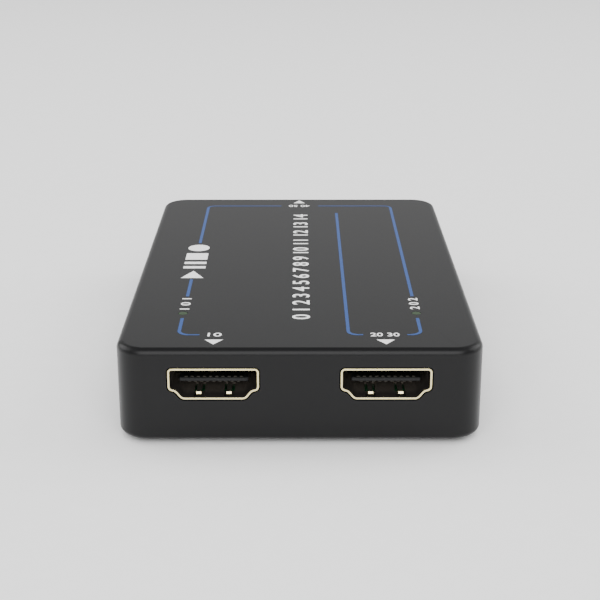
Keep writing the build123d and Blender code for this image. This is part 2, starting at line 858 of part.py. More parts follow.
def chip_resistors():
    """The rows of small resistors behind the video sockets."""
    places = [
        place
        for side in (-1, 1)
        for place in row_places(side * socket_x, resistor_y, resistor_pitch, resistors_per_row)
    ]
    size = (chip_part_width, chip_part_depth, resistor_height, chip_part_cap)
    return [capped_part(x, y, *size, False) for x, y in places]


def socket_nodes(name, x):
    """The pieces of one video socket and of the parts on its lines."""
    nodes = {
        name + "_socket_shell": video_shell(),
        name + "_socket_insulator": video_insulator(),
        name + "_socket_contacts": Compound(video_contacts()),
    }
    nodes = {node: Pos(x, 0, 0) * piece for node, piece in nodes.items()}
    for number, place in enumerate(row_places(x, surge_y, surge_pitch, 2), start=1):
        size = (surge_width, surge_depth, surge_height, surge_cap)
        nodes[f"{name}_surge_array_{number}"] = capped_part(*place, *size)
    for number, place in enumerate(row_places(x, choke_y, choke_pitch, chokes_per_socket), start=1):
        size = (choke_width, choke_depth, choke_height, choke_cap)
        nodes[f"{name}_choke_{number}"] = capped_part(*place, *size)
    return nodes


def build():
    """Every node of the box under its name."""
    nodes = {"top_cover": top_cover(), "bottom_cover": bottom_cover(), "main_board": main_board()}
    case_screws = [screw(x, y, screw_seat_z, case_screw_length) for x, y in post_places]
    board_screws = [screw(x, y, board_base_z, board_screw_length) for x, y in boss_places]
    nodes["case_screws"] = Compound(case_screws)
    nodes["board_screws"] = Compound(board_screws)
    feet = ("front_left", -1, -1), ("front_right", 1, -1), ("rear_left", -1, 1), ("rear_right", 1, 1)
    for name, side, end in feet:
        nodes["foot_" + name] = rubber_foot(side * foot_x, end * foot_y)
    nodes |= socket_nodes("input", -socket_x)
    nodes |= socket_nodes("output", socket_x)
    nodes["data_socket_shell"] = data_shell()
    nodes["data_socket_insulator"] = data_insulator()
    nodes["data_socket_contacts"] = Compound(data_contacts())
    for name, x in (("left", -light_x), ("right", light_x)):
        nodes[name + "_status_light"] = status_light(x)
        nodes[name + "_light_guide"] = light_guide(x)
    capture_x, capture_y = capture_place
    nodes["capture_chip"] = ball_chip(
        capture_place, capture_size, capture_size, capture_height, capture_balls, capture_balls
    )
    pad_z = board_top_z + capture_height
    nodes["thermal_pad"] = standing_block(capture_x, capture_y, pad_z, pad_size, pad_size, pad_thickness)
    nodes["heat_sink"] = heat_sink()
    nodes["receiver_chip"] = square_chip(
        receiver_place, receiver_size, receiver_height, receiver_lead, receiver_leads_per_side
    )
    nodes["splitter_chip"] = square_chip(
        splitter_place, splitter_size, splitter_height, splitter_lead, splitter_leads_per_side
    )
    nodes["memory_chip"] = ball_chip(
        memory_place, memory_width, memory_depth, memory_height, memory_columns, memory_rows
    )
    flash_size = (flash_width, flash_depth, flash_height)
    flash_rows = (flash_leads_per_side, 0, flash_leads_per_side, 0)
    nodes["flash_chip"] = leaded_chip(flash_place, *flash_size, flash_lead, flash_rows)
    nodes["capture_crystal"] = crystal(capture_place, capture_half, capture_crystal_gap)
    nodes["receiver_crystal"] = crystal(receiver_place, receiver_half, receiver_crystal_gap)
    for number, share in enumerate(supply_shares, start=1):
        nodes[f"power_inductor_{number}"] = power_inductor(board_place(share))
        nodes[f"voltage_regulator_{number}"] = voltage_regulator(board_place(share))
    for number, share in enumerate(bulk_shares, start=1):
        nodes[f"bulk_capacitor_{number}"] = bulk_capacitor(board_place(share))
    nodes["chip_capacitors"] = Compound(chip_capacitors())
    nodes["chip_resistors"] = Compound(chip_resistors())
    return nodes


os.makedirs("parts", exist_ok=True)
for node, piece in build().items():
    export_step(piece, f"parts/{node}.step")
    print(node)
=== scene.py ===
import json
import math
import bpy
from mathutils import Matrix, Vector

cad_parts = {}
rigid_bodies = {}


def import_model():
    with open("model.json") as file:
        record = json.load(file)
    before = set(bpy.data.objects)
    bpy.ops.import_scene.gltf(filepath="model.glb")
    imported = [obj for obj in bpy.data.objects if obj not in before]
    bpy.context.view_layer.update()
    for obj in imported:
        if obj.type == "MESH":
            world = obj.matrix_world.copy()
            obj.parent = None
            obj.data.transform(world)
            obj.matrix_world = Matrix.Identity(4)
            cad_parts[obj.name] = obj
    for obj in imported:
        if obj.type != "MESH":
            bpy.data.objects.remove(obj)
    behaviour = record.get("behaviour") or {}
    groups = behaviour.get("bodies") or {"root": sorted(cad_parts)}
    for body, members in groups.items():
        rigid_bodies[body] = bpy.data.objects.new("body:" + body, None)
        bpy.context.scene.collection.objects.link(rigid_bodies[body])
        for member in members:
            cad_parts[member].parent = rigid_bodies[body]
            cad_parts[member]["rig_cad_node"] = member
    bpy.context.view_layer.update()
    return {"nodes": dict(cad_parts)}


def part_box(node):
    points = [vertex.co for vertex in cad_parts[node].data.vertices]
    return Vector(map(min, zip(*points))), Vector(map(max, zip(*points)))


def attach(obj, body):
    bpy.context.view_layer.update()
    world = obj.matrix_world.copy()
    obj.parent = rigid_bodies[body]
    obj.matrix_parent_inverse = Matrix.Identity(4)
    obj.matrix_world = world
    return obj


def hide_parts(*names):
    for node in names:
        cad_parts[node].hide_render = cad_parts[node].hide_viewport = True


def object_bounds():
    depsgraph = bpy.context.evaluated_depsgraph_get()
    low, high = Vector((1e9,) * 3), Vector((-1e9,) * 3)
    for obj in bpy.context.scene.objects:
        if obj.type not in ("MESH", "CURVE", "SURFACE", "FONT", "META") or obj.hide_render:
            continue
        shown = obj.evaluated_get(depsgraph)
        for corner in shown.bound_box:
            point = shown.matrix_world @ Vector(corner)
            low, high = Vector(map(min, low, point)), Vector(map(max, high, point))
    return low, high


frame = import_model()

# Top cover
# The deep shell of the case: roof and four walls in one piece of black ABS. It is injection
# moulded against a spark eroded steel cavity, which leaves an even, fine, dull grain. The rest of
# the box is built into it upside down.
mm = 0.001
merge_distance = 0.0005 * mm
flat_angle = math.radians(0.3)
smooth_angle = math.radians(32)
turned = 0.5  # the share of a normal along an axis from which a face counts as turned that way


def ink(text):
    """A colour written as sRGB hex, turned to linear values."""
    levels = [int(text[place:place + 2], 16) / 255 for place in (1, 3, 5)]
    return [c / 12.92 if c <= 0.04045 else ((c + 0.055) / 1.055) ** 2.4 for c in levels] + [1.0]


def add(material, kind, inputs, **settings):
    """Adds a node with its settings. Each input is a value, or the output of another node."""
    node = material.node_tree.nodes.new(kind)
    for name, value in settings.items():
        setattr(node, name, value)
    for key, value in inputs.items():
        if isinstance(value, bpy.types.NodeSocket):
            material.node_tree.links.new(value, node.inputs[key])
        else:
            node.inputs[key].default_value = value
    return node


def blank(name):
    """A new material with no nodes."""
    material = bpy.data.materials.new(name)
    material.use_nodes = True
    material.node_tree.nodes.clear()
    return material


def deselect():
    """Leaves nothing selected, so that an operator acts only on what is chosen next."""
    bpy.ops.object.select_all(action="DESELECT")


def edit(piece):
    """Opens one piece in edit mode with all of it selected."""
    deselect()
    piece.select_set(True)
    bpy.context.view_layer.objects.active = piece
    bpy.ops.object.mode_set(mode="EDIT")
    bpy.ops.mesh.select_all(action="SELECT")


def weigh_mouth(piece, slack=0.01 * mm):
    """Marks the edges round the front end of a piece, so that a bevel breaks only those."""
    corners = piece.data.vertices
    front = min(corner.co.y for corner in corners) + slack
    walls = {
        key for face in piece.data.polygons if face.normal.y > -turned for key in face.edge_keys
    }
    weights = piece.data.attributes.new("bevel_weight_edge", "FLOAT", "EDGE")
    for line in piece.data.edges:
        at_front = all(corners[end].co.y < front for end in line.vertices)
        weights.data[line.index].value = float(at_front and line.key in walls)


def finished(node, edge=0.0, mouth_only=False):
    """A merged copy of a CAD node with even normals and, where asked, broken edges."""
    piece = bpy.data.objects.new(node + "_finished", frame["nodes"][node].data.copy())
    bpy.context.scene.collection.objects.link(piece)
    edit(piece)
    bpy.ops.mesh.customdata_custom_splitnormals_clear()
    bpy.ops.mesh.remove_doubles(threshold=merge_distance)
    bpy.ops.mesh.dissolve_limited(angle_limit=flat_angle)
    bpy.ops.object.mode_set(mode="OBJECT")
    if edge:
        bevel = piece.modifiers.new("broken edge", "BEVEL")
        bevel.limit_method = "ANGLE"
        bevel.angle_limit = smooth_angle
        bevel.width = edge
        bevel.segments = 2
        bevel.harden_normals = False
        if mouth_only:
            weigh_mouth(piece)
            bevel.limit_method = "WEIGHT"
        bpy.ops.object.modifier_apply(modifier=bevel.name)
    bpy.ops.object.shade_smooth_by_angle(angle=smooth_angle)
    even = piece.modifiers.new("even normals", "WEIGHTED_NORMAL")
    even.keep_sharp = True
    bpy.ops.object.modifier_apply(modifier=even.name)
    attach(piece, "root")
    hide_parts(node)
    return piece


def dress(piece, slot, *materials):
    """Gives a piece its materials; the slot is not used."""
    piece.data.materials.clear()
    for material in materials:
        piece.data.materials.append(material)


# Moulded ABS: a dull skin that still shines at a low angle. The grain is really 0.05 mm and is
# drawn at 0.18 mm; the colour drifts a little over 12 mm, as black plastic does.
cover_abs = blank("moulded_black_abs")
place = add(cover_abs, "ShaderNodeTexCoord", {}).outputs["Object"]
grain = add(
    cover_abs, "ShaderNodeTexNoise", {"Vector": place, "Scale": 1 / (0.18 * mm), "Detail": 3.0}
)
drift = add(
    cover_abs, "ShaderNodeTexNoise", {"Vector": place, "Scale": 1 / (12 * mm), "Detail": 2.0}
)
tint = add(
    cover_abs,
    "ShaderNodeMix",
    {0: drift.outputs["Fac"], 6: ink("#101011"), 7: ink("#131314")},
    data_type="RGBA",
)
dull = add(
    cover_abs, "ShaderNodeMapRange", {"Value": grain.outputs["Fac"], "To Min": 0.3, "To Max": 0.38}
)
bump = add(
    cover_abs,
    "ShaderNodeBump",
    {"Height": grain.outputs["Fac"], "Strength": 0.1, "Distance": 0.015 * mm},
)
skin = add(
    cover_abs,
    "ShaderNodeBsdfPrincipled",
    {
        "Base Color": tint.outputs[2],
        "Roughness": dull.outputs["Result"],
        "Normal": bump.outputs["Normal"],
        "IOR": 1.53,
        "Specular IOR Level": 0.2,
    },
)
add(cover_abs, "ShaderNodeOutputMaterial", {"Surface": skin.outputs["BSDF"]})
top_cover = finished("top_cover")
dress(top_cover, "case_plastic", cover_abs)

# Print on the roof
# Signal paths, arrows and plain marks, pad printed in blue and white on the moulded roof. The ink
# dries to a thin, slightly glossy film that stands a hair above the grain.
film_sunk = 0.01 * mm  # the film's foot lies in the roof, so that no light gets under it
film_proud = 0.015 * mm
roof_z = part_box("top_cover")[1].z
film_base = roof_z - film_sunk
film_top = roof_z + film_proud
film = film_top - film_base


def pad_ink(name, colour, worn):
    """Pad printed ink: a smooth film with a faint unevenness of its own, thinner in tiny spots."""
    material = blank(name)
    spot = add(material, "ShaderNodeTexCoord", {}).outputs["Object"]
    speck = add(
        material, "ShaderNodeTexNoise", {"Vector": spot, "Scale": 1 / (0.35 * mm), "Detail": 2.0}
    )
    thin = add(
        material,
        "ShaderNodeMapRange",
        {"Value": speck.outputs["Fac"], "From Min": 0.3, "From Max": 0.62},
    )
    shade = add(
        material,
        "ShaderNodeMix",
        {0: thin.outputs["Result"], 6: ink(worn), 7: ink(colour)},
        data_type="RGBA",
    )
    lift = add(
        material,
        "ShaderNodeBump",
        {"Height": speck.outputs["Fac"], "Strength": 0.1, "Distance": 0.01 * mm},
    )
    surface = add(
        material,
        "ShaderNodeBsdfPrincipled",
        {
            "Base Color": shade.outputs[2],
            "Roughness": 0.38,
            "Normal": lift.outputs["Normal"],
            "IOR": 1.5,
        },
    )
    add(material, "ShaderNodeOutputMaterial", {"Surface": surface.outputs["BSDF"]})
    return material


blue_ink = pad_ink("blue_pad_printing_ink", "#1a4486", "#173d79")
white_ink = pad_ink("white_pad_printing_ink", "#ffffff", "#f4f4f2")
line_width = 0.56 * mm
cross_line_share = 0.68  # the lines across the case are drawn finer than those along it


def seat_on_roof(piece, slot, material):
    """Closes a printed shape, joins it to the case and gives it its ink."""
    edit(piece)
    bpy.ops.mesh.remove_doubles(threshold=merge_distance)
    bpy.ops.mesh.normals_make_consistent(inside=False)
    bpy.ops.object.mode_set(mode="OBJECT")
    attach(piece, "root")
    dress(piece, slot, material)


def printed_line(name, x, y, heading, moves):
    """A printed line drawn from a start by runs and quarter turns; heading 0 runs to the front."""
    deselect()
    turn = math.radians(heading)
    bpy.ops.mesh.primitive_plane_add(
        size=1,
        location=(x * mm, y * mm, (film_base + film_top) / 2),
        rotation=(math.pi / 2, 0, turn),
    )
    piece = bpy.context.object
    piece.name = name
    piece.scale = (line_width * (cross_line_share if heading else 1), film, 1)
    bpy.ops.object.transform_apply(location=True, rotation=True, scale=True)
    edit(piece)
    here = Vector((x * mm, y * mm, 0))
    for kind, amount in moves:
        ahead = Vector((math.sin(turn), -math.cos(turn), 0))
        left = Vector((math.cos(turn), math.sin(turn), 0))
        if kind == "run":
            bpy.ops.mesh.extrude_region_move(TRANSFORM_OT_translate={"value": ahead * amount * mm})
            here += ahead * amount * mm
            continue
        side = 1 if kind == "left" else -1
        centre = here + left * side * amount * mm
        bpy.ops.mesh.spin(
            steps=8,
            angle=-side * math.pi / 2,
            center=centre + Vector((0, 0, roof_z)),
            axis=(0, 0, 1),
        )
        here = centre + ahead * amount * mm
        turn += side * math.pi / 2
        # the end section takes the width of the direction that it now runs in
        change = cross_line_share if abs(math.sin(turn)) > 0.5 else 1 / cross_line_share
        bpy.ops.transform.resize(
            value=(change, change, 1), center_override=here + Vector((0, 0, roof_z))
        )
    bpy.ops.object.mode_set(mode="OBJECT")
    seat_on_roof(piece, "blue_print_ink", blue_ink)


# Places and runs in millimetres; the left and the right line start again in front of a light.
left_line_x = -20.02
right_line_x = 20.07
rear_line_y = 39.99
front_start_y = -31.9
rear_left = [("run", 14.54), ("left", 1.5), ("run", 26.64)]
rear_right = [("run", 14.39), ("right", 1.5), ("run", 59.09)]
front_left = [("run", 6.1), ("left", 1.8), ("run", 1.69)]
front_right = [("run", 6.1), ("right", 1.8), ("run", 0.54)]
inner = [("run", 72.3), ("left", 1.6), ("run", 0.81)]
printed_line("print_line_left_rear", -3.98, rear_line_y, -90, rear_left)
printed_line("print_line_left_middle", left_line_x, -11.1, 0, [("run", 9.5)])
printed_line("print_line_left_front", left_line_x, front_start_y, 0, front_left)
printed_line("print_line_right_rear", 4.18, rear_line_y, 90, rear_right)
printed_line("print_line_right_front", right_line_x, front_start_y, 0, front_right)
printed_line("print_line_inner", 8.05, 34.1, 0, inner)


def raise_film(piece):
    """Gives a flat printed shape the thickness of the ink."""
    edit(piece)
    bpy.ops.mesh.extrude_region_move(TRANSFORM_OT_translate={"value": (0, 0, film)})
    bpy.ops.object.mode_set(mode="OBJECT")
    seat_on_roof(piece, "white_print_ink", white_ink)


def printed_triangle(name, x, base_y, tip_y, width):
    """A white arrow head between its base and its tip."""
    deselect()
    bpy.ops.mesh.primitive_circle_add(vertices=3, radius=1, fill_type="NGON")
    piece = bpy.context.object
    piece.name = name
    piece.location = (x * mm, (base_y * 2 + tip_y) / 3 * mm, film_base)
    piece.scale = (width / math.sqrt(3) * mm, (tip_y - base_y) / 1.5 * mm, 1)
    bpy.ops.object.transform_apply(location=True, rotation=True, scale=True)
    raise_film(piece)


socket_x = 14.04
arrow_base_y = -42.04
arrow_tip_y = -44.14
arrow_width = 3.0
printed_triangle("print_arrow_input", -socket_x, arrow_base_y, arrow_tip_y, arrow_width)
printed_triangle("print_arrow_output", socket_x, arrow_base_y, arrow_tip_y, arrow_width)
printed_triangle("print_arrow_data", 0.0, 42.3, 44.6, 2.6)

# Four plain transport signs on the left line: play, pause, stop and record, from front to rear.
sign_x = -20.0
sign_width = 4.2
pause_bar = 1.3
printed_triangle("print_sign_play", sign_x, -10.3, -6.1, sign_width)


def printed_block(name, x, y, width, depth):
    """A white rectangle."""
    deselect()
    bpy.ops.mesh.primitive_plane_add(size=1, location=(x * mm, y * mm, film_base))
    piece = bpy.context.object
    piece.name = name
    piece.scale = (width * mm, depth * mm, 1)
    bpy.ops.object.transform_apply(location=True, rotation=True, scale=True)
    raise_film(piece)


printed_block("print_sign_pause_front", sign_x, -3.85, sign_width, pause_bar)
printed_block("print_sign_pause_rear", sign_x, -1.15, sign_width, pause_bar)
printed_block("print_sign_stop", sign_x, 2.95, sign_width, 4.1)
deselect()
bpy.ops.mesh.primitive_circle_add(
    vertices=48,
    radius=sign_width / 2 * mm,
    fill_type="NGON",
    location=(sign_x * mm, 8.55 * mm, film_base),
)
record_sign = bpy.context.object
record_sign.name = "print_sign_record"
bpy.ops.object.transform_apply(location=True, rotation=True, scale=True)
raise_film(record_sign)


def printed_figures(name, text, x, y, length, height, turn):
    """Plain white figures that fill a place of a given length and height."""
    deselect()
    bpy.ops.object.text_add()
    piece = bpy.context.object
    piece.data.body = text
    piece.data.extrude = 0.5
    piece.data.offset = 0.012  # strokes a little bolder than the plain font's
    bpy.ops.object.convert(target="MESH")
    piece = bpy.context.object
    piece.name = name
    corners = [vertex.co.copy() for vertex in piece.data.vertices]
    low = Vector([min(corner[axis] for corner in corners) for axis in range(3)])
    high = Vector([max(corner[axis] for corner in corners) for axis in range(3)])
    edit(piece)
    bpy.ops.transform.translate(value=-(low + high) / 2)
    bpy.ops.object.mode_set(mode="OBJECT")
    size = high - low
    piece.scale = (length * mm / size.x, height * mm / size.y, film / size.z)
    piece.rotation_euler = (0, 0, math.radians(turn))
    piece.location = (x * mm, y * mm, (film_base + film_top) / 2)
    bpy.ops.object.transform_apply(location=True, rotation=True, scale=True)
    seat_on_roof(piece, "white_print_ink", white_ink)


figures_y = -39.75
printed_figures("print_figures_input", "10", -socket_x, figures_y, 2.3, 1.6, 0)
printed_figures("print_figures_output", "20 30", socket_x, figures_y, 4.8, 1.6, 0)
printed_figures("print_figures_data", "40 50", 0.0, rear_line_y, 4.6, 1.5, 180)
printed_figures("print_figures_left", "1 0 1", sign_x, -24.6, 5.8, 1.7, 90)
printed_figures("print_figures_right", "2 0 2", 20.05, -24.5, 5.8, 1.7, 90)
scale_text = " ".join(str(number) for number in range(15))
printed_figures("print_scale_middle", scale_text, 0.25, 0.35, 65.4, 3.1, 90)

# Light guides
# Two small clear acrylic pins, dark green in the mass, pressed up into the roof until their collars
# stop. Each carries the glow of a status light to a dot in the roof.
guide_acrylic = blank("dark_green_acrylic")
place = add(guide_acrylic, "ShaderNodeTexCoord", {}).outputs["Object"]
cloud = add(
    guide_acrylic, "ShaderNodeTexNoise", {"Vector": place, "Scale": 1 / (0.9 * mm), "Detail": 1.0}
)
tint = add(
    guide_acrylic,
    "ShaderNodeMix",
    {0: cloud.outputs["Fac"], 6: ink("#1c3515"), 7: ink("#25421b")},
    data_type="RGBA",
)
clear = add(
    guide_acrylic,
    "ShaderNodeBsdfPrincipled",
    {
        "Base Color": tint.outputs[2],
        "Roughness": 0.3,
        "IOR": 1.49,
        "Specular IOR Level": 0.3,
        "Transmission Weight": 0.25,
    },
)
add(guide_acrylic, "ShaderNodeOutputMaterial", {"Surface": clear.outputs["BSDF"]})
for node in ("left_light_guide", "right_light_guide"):
    dress(finished(node), "guide_plastic", guide_acrylic)

# Circuit board
# One board of glass epoxy, 1.6 mm thick, routed to its outline, with copper tracks under a green
# solder mask on both faces and the bare laminate showing at its edges, painted dark brown as
# painted shade where the edge shows through the slots of the sockets.
solder_mask = blank("green_solder_mask")
place = add(solder_mask, "ShaderNodeTexCoord", {}).outputs["Object"]
tracks = add(
    solder_mask,
    "ShaderNodeTexBrick",
    {
        "Vector": place,
        "Scale": 1.0,
        "Mortar Size": 0.12 * mm,
        "Brick Width": 6.5 * mm,
        "Row Height": 0.75 * mm,
        "Color1": (1, 1, 1, 1),
        "Color2": (0.6, 0.6, 0.6, 1),
        "Mortar": (0, 0, 0, 1),
    },
)
tint = add(
    solder_mask,
    "ShaderNodeMix",
    {0: tracks.outputs["Color"], 6: ink("#0b3a20"), 7: ink("#125c32")},
    data_type="RGBA",
)
lift = add(
    solder_mask,
    "ShaderNodeBump",
    {"Height": tracks.outputs["Color"], "Strength": 0.5, "Distance": 0.035 * mm},
)
mask = add(
    solder_mask,
    "ShaderNodeBsdfPrincipled",
    {
        "Base Color": tint.outputs[2],
        "Roughness": 0.34,
        "Normal": lift.outputs["Normal"],
        "IOR": 1.55,
        "Coat Weight": 0.4,
        "Coat Roughness": 0.12,
    },
)
add(solder_mask, "ShaderNodeOutputMaterial", {"Surface": mask.outputs["BSDF"]})

# Cut glass epoxy: fibres of 0.01 mm in 0.2 mm plies, which show as fine level bands. Its colour is
# painted dark, as painted shade.
ply = 0.2 * mm
band_share = 6.28  # what a distance is divided by to get one band of the wave texture
shaded_cut_laminate = blank("routed_glass_epoxy_in_painted_shade")
place = add(shaded_cut_laminate, "ShaderNodeTexCoord", {}).outputs["Object"]
plies = add(
    shaded_cut_laminate,
    "ShaderNodeTexWave",
    {"Vector": place, "Scale": 1 / ply / band_share, "Distortion": 0.6, "Detail": 2.0},
    bands_direction="Z",
)
tint = add(
    shaded_cut_laminate,
    "ShaderNodeMix",
    {0: plies.outputs["Fac"], 6: ink("#1f1b15"), 7: ink("#302b22")},
    data_type="RGBA",
)
cut = add(
    shaded_cut_laminate,
    "ShaderNodeBsdfPrincipled",
    {"Base Color": tint.outputs[2], "Roughness": 0.72, "IOR": 1.55},
)
add(shaded_cut_laminate, "ShaderNodeOutputMaterial", {"Surface": cut.outputs["BSDF"]})


def second_finish(piece, wanted):
    """Gives the second material to the faces that a test of their middle and normal picks."""
    for face in piece.data.polygons:
        face.material_index = int(wanted(face))


board = finished("main_board")
dress(board, "board_laminate", solder_mask, shaded_cut_laminate)
# The edge faces take the dark laminate colour, painted as painted shade.
second_finish(board, lambda face: abs(face.normal.z) < turned)

# Chips
# Capture, receiver, splitter, memory and flash chips and the regulators: transfer moulded black
# epoxy on a carrier or a lead frame. Bent leads and solder balls are tinned.
chip_epoxy = blank("moulded_chip_epoxy")
place = add(chip_epoxy, "ShaderNodeTexCoord", {}).outputs["Object"]
filler = add(
    chip_epoxy, "ShaderNodeTexNoise", {"Vector": place, "Scale": 1 / (0.09 * mm), "Detail": 4.0}
)
tint = add(
    chip_epoxy,
    "ShaderNodeMix",
    {0: filler.outputs["Fac"], 6: ink("#1a1a1c"), 7: ink("#2a2a2d")},
    data_type="RGBA",
)
bump = add(
    chip_epoxy,
    "ShaderNodeBump",
    {"Height": filler.outputs["Fac"], "Strength": 0.25, "Distance": 0.01 * mm},
)
moulding = add(
    chip_epoxy,
    "ShaderNodeBsdfPrincipled",
    {
        "Base Color": tint.outputs[2],
        "Roughness": 0.62,
        "Normal": bump.outputs["Normal"],
        "IOR": 1.55,
    },
)
add(chip_epoxy, "ShaderNodeOutputMaterial", {"Surface": moulding.outputs["BSDF"]})

# Matt tin: a soft grey metal whose crystals, about 0.1 mm, make it cloudy.
matt_tin = blank("matt_tin_plating")
place = add(matt_tin, "ShaderNodeTexCoord", {}).outputs["Object"]
crystals = add(matt_tin, "ShaderNodeTexVoronoi", {"Vector": place, "Scale": 1 / (0.1 * mm)})
dull = add(
    matt_tin,
    "ShaderNodeMapRange",
    {"Value": crystals.outputs["Distance"], "To Min": 0.3, "To Max": 0.45},
)
tin = add(
    matt_tin,
    "ShaderNodeBsdfPrincipled",
    {"Base Color": ink("#d2d2cf"), "Metallic": 1.0, "Roughness": dull.outputs["Result"]},
)
add(matt_tin, "ShaderNodeOutputMaterial", {"Surface": tin.outputs["BSDF"]})


def outside(node, reach_x, reach_y, slack=0.01 * mm):
    """A test for faces that lie beyond a chip's body, which ends short of the node's box."""
    low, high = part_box(node)
    middle = (low + high) / 2
    half = (high - low) / 2 - Vector((reach_x - slack, reach_y - slack, 0))
    return lambda face: (
        abs(face.center.x - middle.x) > half.x or abs(face.center.y - middle.y) > half.y
    )


# How far the leads reach past the bodies, across and along, in millimetres.
leaded = {
    "receiver_chip": (1.0, 1.0),
    "splitter_chip": (0.5, 0.5),
    "flash_chip": (1.05, 0.0),
    "voltage_regulator_1": (0.0, 0.6),
    "voltage_regulator_2": (0.0, 0.6),
    "voltage_regulator_3": (0.0, 0.6),
}
for node, (reach_x, reach_y) in leaded.items():
    chip = finished(node)
    dress(chip, "chip_epoxy", chip_epoxy, matt_tin)
    second_finish(chip, outside(node, reach_x * mm, reach_y * mm))

ball_top = 0.36 * mm
for node in ("capture_chip", "memory_chip"):
    chip = finished(node)
    dress(chip, "chip_epoxy", chip_epoxy, matt_tin)
    board_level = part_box(node)[0].z
    second_finish(
        chip, lambda face: face.center.z < board_level + ball_top and abs(face.normal.z) < turned
    )

# Crystals
# Quartz crystals in flat drawn cans of nickel plated brass, seam welded to their base, satin from
# the rolling of the sheet.
can_nickel = blank("satin_nickel_can")
place = add(can_nickel, "ShaderNodeTexCoord", {}).outputs["Object"]
rolled = add(can_nickel, "ShaderNodeMapping", {"Vector": place, "Scale": (1, 9, 1)})
streak = add(
    can_nickel,
    "ShaderNodeTexNoise",
    {"Vector": rolled.outputs["Vector"], "Scale": 1 / (0.8 * mm), "Detail": 3.0},
)
dull = add(
    can_nickel, "ShaderNodeMapRange", {"Value": streak.outputs["Fac"], "To Min": 0.2, "To Max": 0.4}
)
can = add(
    can_nickel,
    "ShaderNodeBsdfPrincipled",
    {"Base Color": ink("#d8d6cf"), "Metallic": 1.0, "Roughness": dull.outputs["Result"]},
)
add(can_nickel, "ShaderNodeOutputMaterial", {"Surface": can.outputs["BSDF"]})
for node in ("capture_crystal", "receiver_crystal"):
    dress(finished(node), "crystal_can", can_nickel)

# Power coils
# Three moulded power inductors: iron powder pressed round a flat coil, dark grey and dull, with
# grains that glint a little.
iron_powder = blank("pressed_iron_powder")
place = add(iron_powder, "ShaderNodeTexCoord", {}).outputs["Object"]
grains = add(iron_powder, "ShaderNodeTexVoronoi", {"Vector": place, "Scale": 1 / (0.12 * mm)})
tint = add(
    iron_powder,
    "ShaderNodeMix",
    {0: grains.outputs["Distance"], 6: ink("#4a4a4c"), 7: ink("#2c2c2e")},
    data_type="RGBA",
)
bump = add(
    iron_powder,
    "ShaderNodeBump",
    {"Height": grains.outputs["Distance"], "Strength": 0.4, "Distance": 0.02 * mm},
)
powder = add(
    iron_powder,
    "ShaderNodeBsdfPrincipled",
    {
        "Base Color": tint.outputs[2],
        "Metallic": 0.3,
        "Roughness": 0.66,
        "Normal": bump.outputs["Normal"],
    },
)
add(iron_powder, "ShaderNodeOutputMaterial", {"Surface": powder.outputs["BSDF"]})
for number in (1, 2, 3):
    dress(finished(f"power_inductor_{number}"), "coil_ferrite", iron_powder)

# Bulk capacitors
# Two tantalum capacitors: ochre moulded epoxy bodies with folded tinned end plates.
ochre_epoxy = blank("ochre_moulded_epoxy")
place = add(ochre_epoxy, "ShaderNodeTexCoord", {}).outputs["Object"]
filler = add(
    ochre_epoxy, "ShaderNodeTexNoise", {"Vector": place, "Scale": 1 / (0.14 * mm), "Detail": 3.0}
)
tint = add(
    ochre_epoxy,
    "ShaderNodeMix",
    {0: filler.outputs["Fac"], 6: ink("#b8841f"), 7: ink("#d09a2e")},
    data_type="RGBA",
)
body = add(
    ochre_epoxy,
    "ShaderNodeBsdfPrincipled",
    {"Base Color": tint.outputs[2], "Roughness": 0.58, "IOR": 1.55},
)
add(ochre_epoxy, "ShaderNodeOutputMaterial", {"Surface": body.outputs["BSDF"]})
end_plate = 0.15 * mm
for number in (1, 2):
    node = f"bulk_capacitor_{number}"
    capacitor = finished(node)
    dress(capacitor, "tantalum_moulding", ochre_epoxy, matt_tin)
    second_finish(capacitor, outside(node, end_plate, 0.0))

# Small ceramic parts
# Chip capacitors, chip resistors, surge arrays and chokes: fired ceramic bodies with tinned end
# caps that stand a little proud. Each kind has its own body colour.


def fired_ceramic(name, dark, light, roughness):
    """Fired ceramic: an even body colour with the faint mottling of the grains."""
    material = blank(name)
    spot = add(material, "ShaderNodeTexCoord", {}).outputs["Object"]
    mottle = add(
        material, "ShaderNodeTexNoise", {"Vector": spot, "Scale": 1 / (0.11 * mm), "Detail": 3.0}
    )
    shade = add(
        material,
        "ShaderNodeMix",
        {0: mottle.outputs["Fac"], 6: ink(dark), 7: ink(light)},
        data_type="RGBA",
    )
    surface = add(
        material,
        "ShaderNodeBsdfPrincipled",
        {"Base Color": shade.outputs[2], "Roughness": roughness, "IOR": 1.7},
    )
    add(material, "ShaderNodeOutputMaterial", {"Surface": surface.outputs["BSDF"]})
    return material


tan_ceramic = fired_ceramic("tan_capacitor_ceramic", "#8d6a48", "#a88562", 0.5)
glazed_ceramic = fired_ceramic("glazed_resistor_ceramic", "#141416", "#202024", 0.25)
capped = {
    "chip_capacitors": ("capacitor_ceramic", tan_ceramic),
    "chip_resistors": ("resistor_ceramic", glazed_ceramic),
}
line_ceramic = fired_ceramic("grey_ferrite_ceramic", "#4c4a46", "#605d58", 0.55)
for side in ("input", "output"):
    for kind, count in (("surge_array", 2), ("choke", 4)):
        for number in range(1, count + 1):
            capped[f"{side}_{kind}_{number}"] = ("line_part_ceramic", line_ceramic)
cap_slack = 0.004 * mm  # less than the caps stand proud, so that only faces of caps reach this far
for node, (slot, ceramic) in capped.items():
    part = finished(node)
    dress(part, slot, ceramic, matt_tin)
    low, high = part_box(node)
    levels = [vertex.co.z for vertex in part.data.vertices]
    second_finish(
        part,
        lambda face: any(
            levels[corner] > high.z - cap_slack or levels[corner] < low.z + cap_slack
            for corner in face.vertices
        ),
    )

